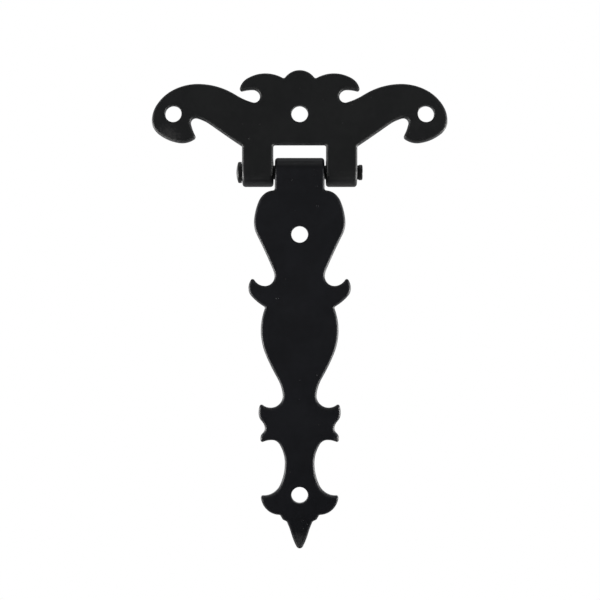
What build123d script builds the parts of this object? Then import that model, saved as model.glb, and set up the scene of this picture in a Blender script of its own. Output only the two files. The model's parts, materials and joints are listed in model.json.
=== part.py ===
from build123d import *
from math import acos, degrees
import os

# Ornamental T-hinge of rolled sheet steel, in millimetres.
# The origin is the plate's middle screw hole, on the back face that lies against the door
# post. +X runs along the pin towards its peened end, +Z points up to the crest, and the show
# face looks towards -Y.
# Both leaves lie in one plane here, as on a shut door. Their show faces are level with the
# front of the knuckles, so the barrel stands out behind them, in the gap beside the door.
# Each piece is drawn round the pin's axis and is moved to the origin's frame at the end.

# ---- driving dimensions ----
sheet_thickness = 2.2
knuckle_outer_radius = 4.4
pin_running_clearance = 0.08    # on the radius, between the pin and the rolled eyes
curl_end_gap = 0.12             # between the end of a curl and the back of its own leaf
edge_ease = 0.9                 # rounding of the show face's outer edges
hole_ease = 0.3                 # rounding of the screw holes' rims
corner_rounding = 0.6           # of the outlines' sharp corners
scroll_tip_rounding = 0.9
spear_rounding = 0.5            # of the corners where the spear starts

strap_knuckle_width = 15.0
knuckle_side_play = 0.45        # between the middle knuckle and the lug on each side
lug_width = 9.4
slot_clearance = 3.5            # between the middle knuckle and the top of the slot
arm_root_drop = 0.4             # where an arm meets its lug, below the top of the slot
strap_shoulder_gap = 1.35       # between the lugs and the strap's shoulders below them

screw_hole_diameter = 5.0
plate_hole_height = 17.2        # above the pin's axis
plate_hole_spacing = 38.0       # from the middle hole to an outer one
crest_rise = 13.2               # above the middle hole
crest_lobe_height = 2.6         # of the crest's top lobe above its cusps
upper_strap_hole_drop = 19.0    # below the pin's axis
strap_hole_spacing = 78.4
point_rounding = 1.1
spear_length = 17.4             # from the lower hole to the point, before its rounding

head_overhang = 1.08            # of the head's radius beyond the shank's
collar_overhang = 0.48          # of the collar under the head, which bears on the lug
collar_length = 0.3
head_rim_thickness = 0.95
head_dome_height = 0.6
head_rounding = 0.4
peened_end_overhang = 0.22
peened_end_thickness = 1.35
peened_end_gap = 0.35           # bare shank between the lug and the peened end
peened_end_cone = 0.4           # length over which the shank widens into the peened end
peened_end_rounding = 0.35

# ---- sizes that follow from them ----
eye_radius = knuckle_outer_radius - sheet_thickness
pin_radius = eye_radius - pin_running_clearance
strap_knuckle_half = strap_knuckle_width / 2
slot_half = strap_knuckle_half + knuckle_side_play
lug_outer = slot_half + lug_width
slot_height = knuckle_outer_radius + slot_clearance
shoulder_drop = knuckle_outer_radius + strap_shoulder_gap
screw_hole_radius = screw_hole_diameter / 2
lower_strap_hole_drop = upper_strap_hole_drop + strap_hole_spacing


def around(centre, *offsets):
    """Points at these offsets from a centre, such as a screw hole's."""
    return [(centre[0] + x, centre[1] + z) for x, z in offsets]


def between(above, below, *steps):
    """Points at each (x, share of the way down) between two other points."""
    return [(x, above[1] + share * (below[1] - above[1])) for x, share in steps]


def flowing_arcs(start, heading, *ends):
    """Arcs that leave the start on a heading, in degrees from +X, and run on smoothly."""
    arcs = []
    direction = Vector(1, 0, 0).rotate(Axis.Z, heading)
    for end in ends:
        arc = TangentArc(start, end, tangent=direction)
        arcs.append(arc)
        start = end
        direction = arc % 1
    return arcs


def both_halves(right_half):
    """Face inside the outline whose right half is given."""
    edges = []
    for edge in right_half:
        edges.append(edge)
        edges.append(mirror(edge, Plane.YZ))
    return make_face(edges)


def round_corners(face, radius, *corners):
    """Rounds corners of the right half, and their twins on the left."""
    vertices = []
    for x, z in corners:
        for side in (1, -1) if x else (1,):
            corner = Vector(side * x, z, 0)
            nearest = min(face.vertices(), key=lambda v: (v.center() - corner).length)
            vertices.append(nearest)
    return fillet(vertices, radius)


def leaf_blank(face):
    """Flat sheet blank from an outline, with its show face level with the knuckles' front."""
    return extrude(Plane.XZ.offset(eye_radius) * face, sheet_thickness)


def rolled_knuckle(x_start, width, turn):
    """Tab rolled into an eye round the pin's axis.

    It leaves the show face at the pin's height, curls round the back and stops just short
    of its own leaf. A turn of +1 starts downwards, for the leaf above the pin, and -1 starts
    upwards, for the leaf below.
    """
    unrolled_part = degrees(acos((eye_radius - curl_end_gap) / knuckle_outer_radius))
    sweep = turn * (360 - unrolled_part)
    outside = CenterArc((0, 0), knuckle_outer_radius, 180, sweep)
    inside = CenterArc((0, 0), eye_radius, 180, sweep)
    root = Line(inside @ 0, outside @ 0)
    end = Line(inside @ 1, outside @ 1)
    section = make_face([outside, end, inside, root])
    return extrude(Plane.YZ.offset(x_start) * section, width)


def drilled(leaf, holes):
    """Leaf with a plain round hole through it at each (x, z)."""
    drill = Rot(90, 0, 0) * Cylinder(screw_hole_radius, 2 * sheet_thickness)
    sheet_middle = eye_radius + sheet_thickness / 2
    for x, z in holes:
        leaf -= Pos(x, -sheet_middle, z) * drill
    return leaf


def eased(leaf):
    """Rounds the show face's outer edges, on round the knuckles, and the holes' rims."""
    show_face = leaf.faces().filter_by(Plane.XZ).sort_by(Axis.Y)[0]
    leaf = fillet(show_face.outer_wire().edges(), edge_ease)
    show_face = leaf.faces().filter_by(Plane.XZ).sort_by(Axis.Y)[0]
    rims = []
    for wire in show_face.inner_wires():
        rims.extend(wire.edges())
    return fillet(rims, hole_ease)


def crown_plate():
    """Fixed leaf: scrolled arms, a crest of three lobes, and two rolled lugs."""
    middle_hole = (0, plate_hole_height)
    outer_hole = (plate_hole_spacing, plate_hole_height)
    crest_top = (0, plate_hole_height + crest_rise)
    cusp = (4.65, crest_top[1] - crest_lobe_height)
    crest_side, hook_tip = around(middle_hole, (15.8, 10.7), (18.15, 6.7))
    notch = around(middle_hole, (14.2, 7.4), (11.95, 5.4), (14.2, 3.5), (19.2, 5.75))
    scroll = around(
        outer_hole, (-7.8, 9.05), (-0.5, 7.5), (4.9, 2.9), (6.45, -2.0), (4.6, -5.9), (-1.7, -8.6),
    )
    scroll_tip, *arm = around(outer_hole, (-6.85, -7.0), (-5.25, -3.0), (-7.1, -1.2), (-11.1, -3.1))
    arm_root = (lug_outer, slot_height - arm_root_drop)
    slot_corner = (slot_half, slot_height)

    outline = []
    outline += flowing_arcs(crest_top, 0, cusp)
    outline += flowing_arcs(cusp, 32, crest_side, hook_tip)
    outline += flowing_arcs(hook_tip, 160, *notch, *scroll, scroll_tip)
    outline += flowing_arcs(scroll_tip, 60, *arm, arm_root)
    outline += Polyline(arm_root, (lug_outer, 0), (slot_half, 0), slot_corner,
                        (0, slot_height)).edges()
    blank = both_halves(outline)
    blank = round_corners(blank, corner_rounding, cusp, hook_tip, slot_corner, arm_root)
    blank = round_corners(blank, scroll_tip_rounding, scroll_tip)

    plate = leaf_blank(blank)
    plate += rolled_knuckle(slot_half, lug_width, 1)
    plate += rolled_knuckle(-lug_outer, lug_width, 1)
    holes = [(i * plate_hole_spacing, plate_hole_height) for i in (-1, 0, 1)]
    return eased(drilled(plate, holes))


def strap_leaf():
    """Moving leaf: a long strap of leaf shapes that ends in a spear, with one rolled eye."""
    upper_hole = (0, -upper_strap_hole_drop)
    lower_hole = (0, -lower_strap_hole_drop)
    shoulder = (strap_knuckle_half, -shoulder_drop)
    upper_leaf = around(shoulder, (3.5, -1.35), (4.9, -3.45))
    upper_leaf += around(
        upper_hole, (13.75, 4.1), (12.9, -0.1), (8.1, -10.4), (7.6, -12.1), (10.75, -15.5),
    )
    fang_tip, *fang = around(upper_hole, (14.05, -12.9), (15.4, -16.4), (14.5, -18.6))
    fang_root = (10.35, upper_hole[1] - 21.9)
    prong_root, prong_tip = around(lower_hole, (8.4, 26.2), (11.75, 27.6))
    waist = between(fang_root, prong_root, (11.7, 0.221), (10.25, 0.469), (6.7, 0.706),
                    (5.1, 0.865))
    prong = around(
        lower_hole, (12.35, 24.4), (11.4, 22.2), (10.5, 20.4), (11.2, 18.5), (11.8, 17.3),
    )
    spur_tip, *lower_leaf = around(
        lower_hole, (11.6, 15.7), (8.3, 16.55), (6.1, 15.3), (4.45, 9.4), (5.9, 2.9), (9.4, -0.1),
    )
    barb_tip, barb = around(lower_hole, (11.7, -0.15), (9.4, -4.8))
    step_top, step_corner = around(lower_hole, (5.9, -5.95), (5.1, -7.35))
    spear_root, spear_side, spear_shoulder = around(
        lower_hole, (3.9, -7.95), (2.5, -11.7), (1.6, -14.2),
    )
    point = (0, lower_hole[1] - spear_length)

    outline = []
    outline += Polyline((0, 0), (strap_knuckle_half, 0), shoulder).edges()
    outline += flowing_arcs(shoulder, 3, *upper_leaf, fang_tip)
    outline += flowing_arcs(fang_tip, -45, *fang, fang_root)
    outline += flowing_arcs(fang_root, -68, *waist, prong_root, prong_tip)
    outline += flowing_arcs(prong_tip, -66, *prong, spur_tip)
    outline += flowing_arcs(spur_tip, 150, *lower_leaf, barb_tip)
    outline += flowing_arcs(barb_tip, -90, barb, step_top)
    outline += Polyline(step_top, step_corner, spear_root).edges()
    outline += flowing_arcs(spear_root, -115, spear_side, spear_shoulder)
    outline += Line(spear_shoulder, point).edges()
    blank = both_halves(outline)
    blank = round_corners(blank, corner_rounding, shoulder, fang_tip, fang_root, prong_tip,
                          spur_tip, barb_tip)
    blank = round_corners(blank, point_rounding, point)
    blank = round_corners(blank, spear_rounding, step_corner, step_top, spear_root)

    strap = leaf_blank(blank)
    strap += rolled_knuckle(-strap_knuckle_half, strap_knuckle_width, -1)
    return eased(drilled(strap, [upper_hole, lower_hole]))


def hinge_pin():
    """Rivet: a low head on a collar at the left, a plain shank, and a peened end."""
    collar_seat = -lug_outer
    rim_start = collar_seat - collar_length
    rim_end = rim_start - head_rim_thickness
    head_end = rim_end - head_dome_height
    peen_start = lug_outer + peened_end_gap
    peen_end = peen_start + peened_end_thickness
    head_radius = pin_radius + head_overhang
    collar_radius = pin_radius + collar_overhang
    peen_radius = pin_radius + peened_end_overhang
    section = [
        TangentArc((head_end, 0), (rim_end, head_radius), tangent=(0, 1)),
        Polyline((rim_end, head_radius), (rim_start, head_radius), (rim_start, collar_radius),
                 (collar_seat, collar_radius), (collar_seat, pin_radius), (peen_start, pin_radius),
                 (peen_start + peened_end_cone, peen_radius), (peen_end, peen_radius),
                 (peen_end, 0), (head_end, 0)),
    ]
    pin = revolve(make_face(section), Axis.X)
    head_rim = pin.edges().filter_by(lambda edge: edge.is_closed).sort_by(Axis.X)[0]
    pin = fillet(head_rim, head_rounding)
    peen_rim = pin.edges().filter_by(lambda edge: edge.is_closed).sort_by(Axis.X)[-1]
    return fillet(peen_rim, peened_end_rounding)


os.makedirs("parts", exist_ok=True)
pin_axis_place = Pos(0, eye_radius, -plate_hole_height)
pieces = {
    "crown_plate": pin_axis_place * crown_plate(),
    "strap_leaf": pin_axis_place * strap_leaf(),
    "hinge_pin": pin_axis_place * hinge_pin(),
}
for name, piece in pieces.items():
    export_step(piece, f"parts/{name}.step")
    print(name, "volume", round(piece.volume, 1), "size", piece.bounding_box().size)
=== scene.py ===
# %% [markdown]
# Black ornamental T-hinge
#
# The hinge has three steel pieces: a scrolled plate, a long leaf-shaped strap and a riveted
# pin. Their shapes come finished from the CAD model, so this lesson is about everything else:
# the camera, the studio, the black powder coat, and the little nibs of dust under its skin.
#
# The first cell loads the CAD pieces as a fixed frame. They are in metres, their objects sit
# at the origin, and their places are in their meshes. Nothing here moves or reshapes them.

# %% Load the hinge
import json
import math

import bmesh
import bpy
from mathutils import Matrix, Vector


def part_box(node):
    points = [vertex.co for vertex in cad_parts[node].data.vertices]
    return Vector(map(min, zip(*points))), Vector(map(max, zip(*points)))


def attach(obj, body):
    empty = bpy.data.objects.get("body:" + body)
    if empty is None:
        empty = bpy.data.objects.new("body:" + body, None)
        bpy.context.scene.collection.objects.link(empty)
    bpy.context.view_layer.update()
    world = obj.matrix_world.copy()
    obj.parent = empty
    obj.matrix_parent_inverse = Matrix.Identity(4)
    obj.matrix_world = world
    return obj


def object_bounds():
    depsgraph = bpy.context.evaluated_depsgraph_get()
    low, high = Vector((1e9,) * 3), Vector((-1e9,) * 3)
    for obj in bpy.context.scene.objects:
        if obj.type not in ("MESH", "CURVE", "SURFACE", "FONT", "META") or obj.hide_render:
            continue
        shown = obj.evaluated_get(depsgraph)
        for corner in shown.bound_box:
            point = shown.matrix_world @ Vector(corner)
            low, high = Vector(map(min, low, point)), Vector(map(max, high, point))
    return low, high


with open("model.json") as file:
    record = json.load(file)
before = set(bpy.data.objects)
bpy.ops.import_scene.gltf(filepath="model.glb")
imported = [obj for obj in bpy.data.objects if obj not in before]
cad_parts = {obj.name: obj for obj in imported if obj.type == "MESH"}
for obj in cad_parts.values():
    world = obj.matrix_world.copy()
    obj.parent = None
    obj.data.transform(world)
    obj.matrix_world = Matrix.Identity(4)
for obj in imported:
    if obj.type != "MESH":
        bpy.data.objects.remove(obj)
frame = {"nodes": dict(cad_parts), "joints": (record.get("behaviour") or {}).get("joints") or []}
cad_low, cad_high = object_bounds()
hinge_nodes = frame["nodes"]
pin_axis = Vector(frame["joints"][0]["pos_m"])
show_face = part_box("crown_plate")[0].y
print("pieces:", sorted(hinge_nodes))
print("box in mm:", [round(v * 1000, 2) for v in (*cad_low, *cad_high)])

# %% [markdown]
# ## Camera
#
# A catalogue picture of flat ironwork is taken square on, from fairly far away, so that the
# outline isn't distorted. That can be a long lens or an orthographic camera. A 70 mm lens at
# 35 cm is used, because its slight perspective shows the underside of the scrolls and of the
# rolled lugs, as a real lens does. The camera looks along +Y, at the middle of the hinge's
# height.

# %% Place the camera
MM = 0.001
CAMERA_DISTANCE = 350 * MM
CAMERA_BELOW_PIN = 38.73 * MM
CAMERA_RIGHT = 0.1 * MM
LENS = 70
SENSOR_WIDTH = 36

scene = bpy.context.scene
camera_data = bpy.data.cameras.new("catalogue_camera")
camera_data.lens = LENS
camera_data.sensor_width = SENSOR_WIDTH
camera = bpy.data.objects.new("catalogue_camera", camera_data)
camera.location = (CAMERA_RIGHT, show_face - CAMERA_DISTANCE, pin_axis.z - CAMERA_BELOW_PIN)
camera.rotation_euler = (math.radians(90), 0, 0)
scene.collection.objects.link(camera)
scene.camera = camera
print("camera at mm:", [round(v * 1000, 1) for v in camera.location])

# %% [markdown]
# ## Helpers for node trees
#
# Worlds, materials and node groups are all node trees. Making a node, setting its values and
# joining its sockets is the same work each time, so one short helper does it. A value that is
# a socket gets linked, and any other value is typed into the socket.

# %% Node helpers
def add_node(tree, kind, sockets=None, **settings):
    """New node in a tree. Sockets maps an input's name or number to a value or to a socket."""
    made = tree.nodes.new(kind)
    for name, value in settings.items():
        setattr(made, name, value)
    for key, value in (sockets or {}).items():
        if isinstance(value, bpy.types.NodeSocket):
            tree.links.new(value, made.inputs[key])
        else:
            made.inputs[key].default_value = value
    return made


def maths(tree, operation, first, second=0.0):
    """Output of a Math node."""
    made = add_node(tree, "ShaderNodeMath", {0: first, 1: second}, operation=operation)
    return made.outputs[0]


def ramp(tree, value, start, end, low=0.0, high=1.0):
    """Value eased from low, at start, to high, at end."""
    made = add_node(
        tree, "ShaderNodeMapRange",
        {"Value": value, "From Min": start, "From Max": end, "To Min": low, "To Max": high},
        interpolation_type="SMOOTHSTEP",
    )
    return made.outputs["Result"]


def mix_colour(tree, share, first, second):
    """Colour that goes from the first to the second as the share goes from 0 to 1."""
    made = add_node(
        tree, "ShaderNodeMix", {0: share, 6: first, 7: second}, data_type="RGBA"
    )
    return made.outputs[2]

# %% [markdown]
# ## Studio
#
# Black satin paint shows only what it reflects. In this light tent the wall behind the hinge
# and a strip of ceiling straight above it are bright, and the front, where the camera stands,
# is dark. So a flat face that looks at the camera stays almost black, and what is rounded
# catches the light. The tent could be built from planes and lamps, but a world whose
# brightness depends on the direction is simpler and has no noise. Camera rays see plain white
# instead.
#
# Colours are kept as they are by the Standard view transform, because a filmic curve would
# turn the white background grey.

# %% Light tent
FRONT_LOW = 0.02
FRONT_HIGH = 0.215
FRONT_TOP_LOSS = 0.12
BACK_EXTRA = 0.8
CEILING_EXTRA = 0.85
COOL_WHITE = (0.97, 0.985, 1.0, 1.0)
PURE_WHITE = (1.0, 1.0, 1.0, 1.0)

scene.view_settings.view_transform = "Standard"
world = bpy.data.worlds.new("light_tent")
world.use_nodes = True
scene.world = world
tent = world.node_tree
tent.nodes.clear()
direction = add_node(tent, "ShaderNodeTexCoord").outputs["Generated"]
along = add_node(tent, "ShaderNodeSeparateXYZ", {0: direction}).outputs

# each part of the tent fades in or out between two heights, or depths, of the direction
front_rise = ramp(tent, along["Z"], -0.5, 0.3, FRONT_LOW, FRONT_HIGH)
front_top_loss = ramp(tent, along["Z"], 0.3, 0.8, 0.0, FRONT_TOP_LOSS)
front = maths(tent, "SUBTRACT", front_rise, front_top_loss)
back = ramp(tent, along["Y"], -0.05, 0.4, 0.0, BACK_EXTRA)
back_fade = ramp(tent, along["Z"], 0.1, 0.55, 1.0, 0.0)
ceiling = ramp(tent, along["Z"], 0.82, 0.98, 0.0, CEILING_EXTRA)
walls = maths(tent, "ADD", front, maths(tent, "MULTIPLY", back, back_fade))
brightness = maths(tent, "ADD", walls, ceiling)
tent_light = add_node(
    tent, "ShaderNodeBackground", {"Color": COOL_WHITE, "Strength": brightness}
)
backdrop_white = add_node(tent, "ShaderNodeBackground", {"Color": PURE_WHITE, "Strength": 1.0})
seen = add_node(tent, "ShaderNodeLightPath").outputs["Is Camera Ray"]
tent_mix = add_node(
    tent, "ShaderNodeMixShader", {0: seen, 1: tent_light.outputs[0], 2: backdrop_white.outputs[0]}
)
add_node(tent, "ShaderNodeOutputWorld", {"Surface": tent_mix.outputs[0]})
print("tent brightness at the front, low and high:", FRONT_LOW, FRONT_HIGH)
print("tent brightness added at the back and above:", BACK_EXTRA, CEILING_EXTRA)

# %% [markdown]
# The floor is a plain white sheet just under the strap's point. In a real studio such a sheet
# is lit until it burns out to pure white, so that it has no edge or horizon. Here camera rays
# see it as pure white, and all other rays see ordinary pale card that passes on soft light.

# %% Floor
FLOOR_GAP = 0.3 * MM
FLOOR_HALF_WIDTH = 1.5
FLOOR_FRONT = 10 * MM
CARD_GREY = (0.85, 0.85, 0.86, 1.0)

floor_mesh = bpy.data.meshes.new("floor_sheet")
floor_shape = bmesh.new()
bmesh.ops.create_grid(
    floor_shape, x_segments=1, y_segments=1, size=FLOOR_HALF_WIDTH,
    matrix=Matrix.Translation((0, FLOOR_HALF_WIDTH - FLOOR_FRONT, cad_low.z - FLOOR_GAP)),
)
floor_shape.to_mesh(floor_mesh)
floor_shape.free()
floor = bpy.data.objects.new("floor_sheet", floor_mesh)
scene.collection.objects.link(floor)

floor_card = bpy.data.materials.new("pale_card")
floor_card.use_nodes = True
card = floor_card.node_tree
card.nodes.clear()
card_surface = add_node(
    card, "ShaderNodeBsdfPrincipled", {"Base Color": CARD_GREY, "Roughness": 0.8}
)
burnt_out = add_node(card, "ShaderNodeEmission", {"Color": PURE_WHITE, "Strength": 1.0})
card_seen = add_node(card, "ShaderNodeLightPath").outputs["Is Camera Ray"]
card_mix = add_node(
    card, "ShaderNodeMixShader", {0: card_seen, 1: card_surface.outputs[0], 2: burnt_out.outputs[0]}
)
add_node(card, "ShaderNodeOutputMaterial", {"Surface": card_mix.outputs[0]})
floor_mesh.materials.append(floor_card)
print("floor at mm:", round((cad_low.z - FLOOR_GAP) * 1000, 2))

# %% [markdown]
# Three soft boxes add what an even tent can't. Two stand low at the sides, a little behind the
# hinge's face, and draw a highlight down the rounded ends of the knuckles. A weak third one,
# low on the left and nearer the camera, lightens the rolled rim under the left scroll. They
# are large, so their light has no hard edge.

# %% Soft boxes
WARM_WHITE = (1.0, 0.99, 0.97)


def soft_box(name, place, size, power):
    """Square area light at a place, turned towards the middle of the hinge."""
    lamp = bpy.data.lights.new(name, "AREA")
    lamp.shape = "SQUARE"
    lamp.size = size
    lamp.energy = power
    lamp.color = WARM_WHITE
    box = bpy.data.objects.new(name, lamp)
    box.location = place
    middle = (cad_low + cad_high) / 2
    box.rotation_euler = (middle - Vector(place)).to_track_quat("-Z", "Y").to_euler()
    scene.collection.objects.link(box)


soft_box("left_soft_box", (-0.55, 0.03, -0.20), size=0.3, power=9.5)
soft_box("right_soft_box", (0.55, 0.03, -0.20), size=0.3, power=12.0)
soft_box("low_soft_box", (-0.40, -0.20, -0.36), size=0.25, power=0.2)

# %% [markdown]
# ## Powder coat
#
# Powder coat is sprayed on as dust and melted in an oven. Looked at closely it has four
# things that flat black paint doesn't: a fine ripple like orange peel, a gloss that changes
# a little from place to place, a black that isn't quite even, and a skin that pulls thin
# over rounded edges. Each of them is one node group, made once and used by all three coats
# with their own values. They read Object coordinates, in metres, so the pattern stays on a
# piece when it swings.

# %% Group helper
def finish_group(name, inputs, outputs):
    """Empty shader node group with named sockets: its tree, its inputs and its output node."""
    group = bpy.data.node_groups.new(name, "ShaderNodeTree")
    for label, kind, value in inputs:
        socket = group.interface.new_socket(name=label, in_out="INPUT", socket_type=kind)
        if value is not None:
            socket.default_value = value
    for label, kind in outputs:
        group.interface.new_socket(name=label, in_out="OUTPUT", socket_type=kind)
    inside = group.nodes.new("NodeGroupInput").outputs
    result = group.nodes.new("NodeGroupOutput")
    return group, inside, result


VECTOR = "NodeSocketVector"
NUMBER = "NodeSocketFloat"
COLOUR = "NodeSocketColor"


def noise(tree, position, scale, detail=2.0, roughness=0.5):
    """Noise value round 0.5 at a position. The scale is in bumps per metre."""
    made = add_node(
        tree, "ShaderNodeTexNoise",
        {"Vector": position, "Scale": scale, "Detail": detail, "Roughness": roughness},
    )
    return made.outputs["Fac"]

# %% [markdown]
# The orange peel is a height, not a colour. Long soft ripples of about 1.5 mm carry a much
# finer grain. Both are noise, and a Bump node in the material turns the height into a slope.

# %% Orange peel
orange_peel, peel_in, peel_out = finish_group(
    "orange_peel",
    [("Position", VECTOR, None), ("Ripples", NUMBER, 650.0), ("Grain", NUMBER, 3800.0),
     ("Grain share", NUMBER, 0.25)],
    [("Height", NUMBER)],
)
ripple = noise(orange_peel, peel_in["Position"], peel_in["Ripples"], 1.0)
grain = noise(orange_peel, peel_in["Position"], peel_in["Grain"], 3.0, 0.6)
grain_part = maths(orange_peel, "MULTIPLY", grain, peel_in["Grain share"])
orange_peel.links.new(maths(orange_peel, "ADD", ripple, grain_part), peel_out.inputs["Height"])
print("group:", orange_peel.name)

# %% [markdown]
# The unevenness of the black is in two sizes: cloudy patches of about a centimetre, where the
# powder lay thicker or thinner, and small mottling of 2 mm.

# %% Cloudy black
cloudy_black, cloud_in, cloud_out = finish_group(
    "cloudy_black",
    [("Position", VECTOR, None), ("Deep", COLOUR, None), ("Pale", COLOUR, None),
     ("Clouds", NUMBER, 95.0), ("Mottling", NUMBER, 480.0)],
    [("Colour", COLOUR)],
)
clouds = noise(cloudy_black, cloud_in["Position"], cloud_in["Clouds"], 3.0, 0.55)
mottling = noise(cloudy_black, cloud_in["Position"], cloud_in["Mottling"], 2.0)
both = maths(cloudy_black, "ADD", clouds, maths(cloudy_black, "MULTIPLY", mottling, 0.45))
cloud_share = ramp(cloudy_black, both, 0.5, 0.95)
cloud_colour = mix_colour(cloudy_black, cloud_share, cloud_in["Deep"], cloud_in["Pale"])
cloudy_black.links.new(cloud_colour, cloud_out.inputs["Colour"])
print("group:", cloudy_black.name)

# %% [markdown]
# Gloss is roughness turned round. It drifts slowly over the piece, and faint rubbed marks
# from handling and packing lie over that: noise that is stretched along the strap, a little
# on the slant.

# %% Drifting gloss
drifting_gloss, gloss_in, gloss_out = finish_group(
    "drifting_gloss",
    [("Position", VECTOR, None), ("Satin", NUMBER, 0.42), ("Drift", NUMBER, 0.16),
     ("Rubbing", NUMBER, 0.1)],
    [("Roughness", NUMBER)],
)
slow = noise(drifting_gloss, gloss_in["Position"], 140.0, 3.0)
slow_part = maths(
    drifting_gloss, "MULTIPLY", maths(drifting_gloss, "SUBTRACT", slow, 0.5), gloss_in["Drift"]
)
stretched = add_node(
    drifting_gloss, "ShaderNodeMapping",
    {"Vector": gloss_in["Position"], "Rotation": (0.0, 0.4, 0.0), "Scale": (1.0, 1.0, 0.12)},
).outputs[0]
rubs = ramp(drifting_gloss, noise(drifting_gloss, stretched, 1500.0, 2.0), 0.62, 0.8)
rub_part = maths(drifting_gloss, "MULTIPLY", rubs, gloss_in["Rubbing"])
satin = maths(drifting_gloss, "ADD", gloss_in["Satin"], slow_part)
drifting_gloss.links.new(
    maths(drifting_gloss, "SUBTRACT", satin, rub_part), gloss_out.inputs["Roughness"]
)
print("group:", drifting_gloss.name)

# %% [markdown]
# Where the sheet's show face rolls over into its edge, the coat is thin and duller from
# handling, and it is painted a little greyer there: a painted highlight that lightens the
# rounded edges as reflections do. The mask for it needs no painting: it is where the normal
# has turned away from the show face's direction, close behind that face.

# %% Thin edges and painted edge highlight
thin_edges_and_highlight, edge_in, edge_out = finish_group(
    "thin_edges_and_highlight",
    [("Position", VECTOR, None), ("Normal", VECTOR, None), ("Face", NUMBER, show_face),
     ("Depth", NUMBER, 1.0 * MM)],
    [("Mask", NUMBER)],
)
behind = add_node(thin_edges_and_highlight, "ShaderNodeSeparateXYZ", {0: edge_in["Position"]}).outputs["Y"]
facing = add_node(thin_edges_and_highlight, "ShaderNodeSeparateXYZ", {0: edge_in["Normal"]}).outputs["Y"]
turned = ramp(thin_edges_and_highlight, maths(thin_edges_and_highlight, "ABSOLUTE", facing), 0.98, 0.75)
depth = maths(
    thin_edges_and_highlight, "DIVIDE", maths(thin_edges_and_highlight, "SUBTRACT", behind, edge_in["Face"]), edge_in["Depth"]
)
near_face = ramp(thin_edges_and_highlight, depth, 1.0, 0.6)
thin_edges_and_highlight.links.new(maths(thin_edges_and_highlight, "MULTIPLY", turned, near_face), edge_out.inputs["Mask"])
print("group:", thin_edges_and_highlight.name)

# %% [markdown]
# Dust settles on black paint as pale points, too small to be worth modelling one by one. A
# Voronoi texture gives one point to each cell, and only a few cells keep theirs.

# %% Settled dust
settled_dust, dust_in, dust_out = finish_group(
    "settled_dust",
    [("Position", VECTOR, None), ("Cells", NUMBER, 700.0), ("Size", NUMBER, 0.12),
     ("Share", NUMBER, 0.05)],
    [("Mask", NUMBER)],
)
cells = add_node(
    settled_dust, "ShaderNodeTexVoronoi",
    {"Vector": dust_in["Position"], "Scale": dust_in["Cells"], "Randomness": 1.0},
)
chance = add_node(
    settled_dust, "ShaderNodeSeparateColor", {0: cells.outputs["Color"]}
).outputs["Red"]
kept = maths(settled_dust, "LESS_THAN", chance, dust_in["Share"])
spot = maths(settled_dust, "DIVIDE", cells.outputs["Distance"], dust_in["Size"])
point = ramp(settled_dust, spot, 1.0, 0.5)
settled_dust.links.new(maths(settled_dust, "MULTIPLY", kept, point), dust_out.inputs["Mask"])
print("group:", settled_dust.name)

# %% [markdown]
# Sharp tips touch everything the hinge is put down on, so the coat there is scuffed: greyer,
# rougher and broken up. The same mask, set under the left scroll, paints a highlight along
# its rolled rim: there the grey is painted light, not wear. The mask fades with the distance
# from a tip, and noise breaks it up.

# %% Scuffed tips and a painted highlight
scuff_and_painted_highlight, tip_in, tip_out = finish_group(
    "scuff_and_painted_highlight",
    [("Position", VECTOR, None), ("Tip", VECTOR, None), ("Reach", NUMBER, 6 * MM)],
    [("Mask", NUMBER)],
)
away = add_node(
    scuff_and_painted_highlight, "ShaderNodeVectorMath", {0: tip_in["Position"], 1: tip_in["Tip"]},
    operation="DISTANCE",
).outputs["Value"]
nearness = ramp(scuff_and_painted_highlight, maths(scuff_and_painted_highlight, "DIVIDE", away, tip_in["Reach"]), 1.0, 0.1)
crumbs = noise(scuff_and_painted_highlight, tip_in["Position"], 1400.0, 4.0, 0.65)
broken = maths(scuff_and_painted_highlight, "ADD", crumbs, maths(scuff_and_painted_highlight, "MULTIPLY", nearness, 0.35))
scuff_and_highlight_share = maths(scuff_and_painted_highlight, "MULTIPLY", ramp(scuff_and_painted_highlight, broken, 0.62, 0.85), nearness)
scuff_and_painted_highlight.links.new(scuff_and_highlight_share, tip_out.inputs["Mask"])
print("group:", scuff_and_painted_highlight.name)

# %% [markdown]
# A coat is a material that puts these groups together. The shader itself stays in the
# material, and what is the same all over, such as the index of refraction, is typed into the
# shader. Three coats are made: the plate's is a neutral black, the strap's is bluer, and
# darker as painted shade, the same black made darker as if its leaf were turned a little
# away from the light, and the rivet's is smoother, with smaller ripples.

# %% Powder coats
def use_group(tree, group, **sockets):
    """Node that places a group in a material. Underscores in a socket's name are spaces."""
    made = tree.nodes.new("ShaderNodeGroup")
    made.node_tree = group
    for name, value in sockets.items():
        target = made.inputs[name.replace("_", " ")]
        if isinstance(value, bpy.types.NodeSocket):
            tree.links.new(value, target)
        else:
            target.default_value = value
    return made.outputs[0]


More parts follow.
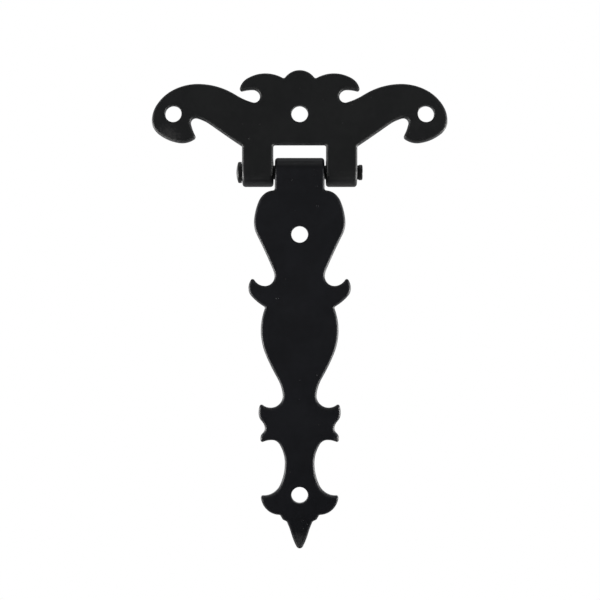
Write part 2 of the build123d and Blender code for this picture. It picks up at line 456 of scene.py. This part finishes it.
def powder_coat(name, deep, pale, satin, ripples, peel_depth, tips):
    """Black powder coat, with greyer, rougher marks at the given places as pairs of a place and a
    reach; at tips they are scuffs, under the left scroll a painted highlight.
    """
    coat = bpy.data.materials.new(name)
    coat.use_nodes = True
    tree = coat.node_tree
    tree.nodes.clear()
    coordinates = add_node(tree, "ShaderNodeTexCoord").outputs
    position = coordinates["Object"]

    colour = use_group(tree, cloudy_black, Position=position, Deep=deep, Pale=pale)
    roughness = use_group(tree, drifting_gloss, Position=position, Satin=satin)
    height = use_group(tree, orange_peel, Position=position, Ripples=ripples)

    edge = use_group(tree, thin_edges_and_highlight, Position=position, Normal=coordinates["Normal"])
    # the rounded edges are painted greyer: a painted highlight, as reflections would lighten them
    colour = mix_colour(tree, maths(tree, "MULTIPLY", edge, EDGE_SHARE), colour, EDGE_HIGHLIGHT_GREY)
    roughness = maths(tree, "ADD", roughness, maths(tree, "MULTIPLY", edge, EDGE_DULLNESS))

    dust = use_group(tree, settled_dust, Position=position)
    colour = mix_colour(tree, maths(tree, "MULTIPLY", dust, DUST_SHARE), colour, DUST_GREY)
    height = maths(tree, "ADD", height, maths(tree, "MULTIPLY", dust, DUST_HEIGHT))

    for place, reach in tips:
        # each mark greys the colour: a scuff at a tip, and a painted highlight under the left
        # scroll
        scuff_and_highlight_mask = use_group(tree, scuff_and_painted_highlight, Position=position, Tip=place, Reach=reach)
        colour = mix_colour(tree, scuff_and_highlight_mask, colour, SCUFF_AND_HIGHLIGHT_GREY)
        roughness = maths(tree, "ADD", roughness, maths(tree, "MULTIPLY", scuff_and_highlight_mask, SCUFF_DULLNESS))
        height = maths(tree, "ADD", height, scuff_and_highlight_mask)

    bump = add_node(
        tree, "ShaderNodeBump", {"Height": height, "Strength": 1.0, "Distance": peel_depth}
    )
    surface = add_node(
        tree, "ShaderNodeBsdfPrincipled",
        {"Base Color": colour, "Roughness": roughness, "IOR": COAT_IOR, "Normal": bump.outputs[0]},
    )
    add_node(tree, "ShaderNodeOutputMaterial", {"Surface": surface.outputs[0]})
    return coat


COAT_IOR = 1.5

# how much of each grey shows, and what it does to the coat's roughness and height
# the edge grey is a painted highlight on the rounded edges; their added dullness is the thin coat
EDGE_HIGHLIGHT_GREY = (0.024, 0.025, 0.027, 1.0)
EDGE_SHARE = 0.6
EDGE_DULLNESS = 0.09
DUST_GREY = (0.16, 0.16, 0.155, 1.0)
DUST_SHARE = 0.5
DUST_HEIGHT = 0.8
# grey of the scuffs at the tips, also used as a painted highlight under the left scroll
SCUFF_AND_HIGHLIGHT_GREY = (0.060, 0.060, 0.061, 1.0)
SCUFF_DULLNESS = 0.2

PLATE_DEEP = (0.0112, 0.0121, 0.0130, 1.0)
PLATE_PALE = (0.0178, 0.0188, 0.0196, 1.0)
# the strap's black is the plate's made darker as painted shade, for a leaf turned a little away
# from the light; it is also bluer
STRAP_SHADED_DEEP = (0.0050, 0.0056, 0.0090, 1.0)
STRAP_SHADED_PALE = (0.0100, 0.0108, 0.0155, 1.0)
PIN_DEEP = (0.0110, 0.0110, 0.0113, 1.0)
PIN_PALE = (0.0160, 0.0160, 0.0160, 1.0)

# the strap's point and its right-hand spur, where the coat is scuffed, and the left scroll's
# underside, where the mark is a painted highlight on the rolled rim
spear_point = (0.0, show_face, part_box("strap_leaf")[0].z)
right_spur = (11.2 * MM, show_face, -99.0 * MM)
left_scroll_highlight = (-40.0 * MM, show_face, -8.0 * MM)

plate_coat = powder_coat(
    "plate_powder_coat", PLATE_DEEP, PLATE_PALE, satin=0.43, ripples=650.0,
    peel_depth=0.010 * MM, tips=[(left_scroll_highlight, 8 * MM)],
)
strap_shaded_coat = powder_coat(
    "strap_shaded_powder_coat", STRAP_SHADED_DEEP, STRAP_SHADED_PALE, satin=0.41, ripples=600.0,
    peel_depth=0.010 * MM, tips=[(spear_point, 9 * MM), (right_spur, 3.5 * MM)],
)
pin_coat = powder_coat(
    "pin_powder_coat", PIN_DEEP, PIN_PALE, satin=0.38, ripples=800.0,
    peel_depth=0.009 * MM, tips=[],
)

for node_name, coat in (
    ("crown_plate", plate_coat), ("strap_leaf", strap_shaded_coat), ("hinge_pin", pin_coat)
):
    for material_slot in hinge_nodes[node_name].material_slots:
        material_slot.material = coat
    print(node_name, "wears", coat.name)

# %% [markdown]
# ## Nibs in the coat
#
# A few grains of dust that fell into the melting powder stand up as nibs: low domes under a
# millimetre wide, with the coat drawn over them. They could be a bump, but a bump has no
# outline of its own and never stands out from the face. They are real little domes instead:
# each is a flattened icosphere, sunk halfway into the face so that only its front half shows.
# All nibs of one leaf are one piece, and it rides on that leaf.

# %% Nib maker
NIB_HEIGHT = 0.07 * MM
NIB_SUBDIVISIONS = 3


def coat_nibs(name, body, coat, nibs):
    """Low domes on the show face, each at an x and z in mm and with a radius in mm."""
    mesh = bpy.data.meshes.new(name)
    shape = bmesh.new()
    for x, z, radius in nibs:
        flat = NIB_HEIGHT / (radius * MM)
        place = Matrix.Translation((x * MM, show_face, z * MM))
        squash = Matrix.Diagonal((1.0, flat, 1.0, 1.0))
        bmesh.ops.create_icosphere(
            shape, subdivisions=NIB_SUBDIVISIONS, radius=radius * MM, matrix=place @ squash
        )
    for face in shape.faces:
        face.smooth = True
    shape.to_mesh(mesh)
    print(name, "nibs", len(nibs), "faces", len(shape.faces))
    shape.free()
    piece = bpy.data.objects.new(name, mesh)
    scene.collection.objects.link(piece)
    mesh.materials.append(coat)
    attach(piece, body)

# %% Nibs on both leaves
coat_nibs("plate_coat_nibs", "fixed_leaf", plate_coat, [
    (-12.0, -3.1, 0.32), (-15.2, -7.3, 0.26), (7.2, 4.2, 0.24),
])
coat_nibs("strap_coat_nibs", "swinging_leaf", strap_shaded_coat, [
    (5.4, -27.6, 0.36), (-6.7, -55.4, 0.40), (-2.4, -19.9, 0.28), (4.5, -18.4, 0.26),
    (5.2, -21.8, 0.24), (0.2, -80.2, 0.30), (5.3, -78.4, 0.26), (-0.3, -85.9, 0.26),
    (0.9, -122.2, 0.28), (2.1, -123.2, 0.24), (0.9, -124.8, 0.26),
])
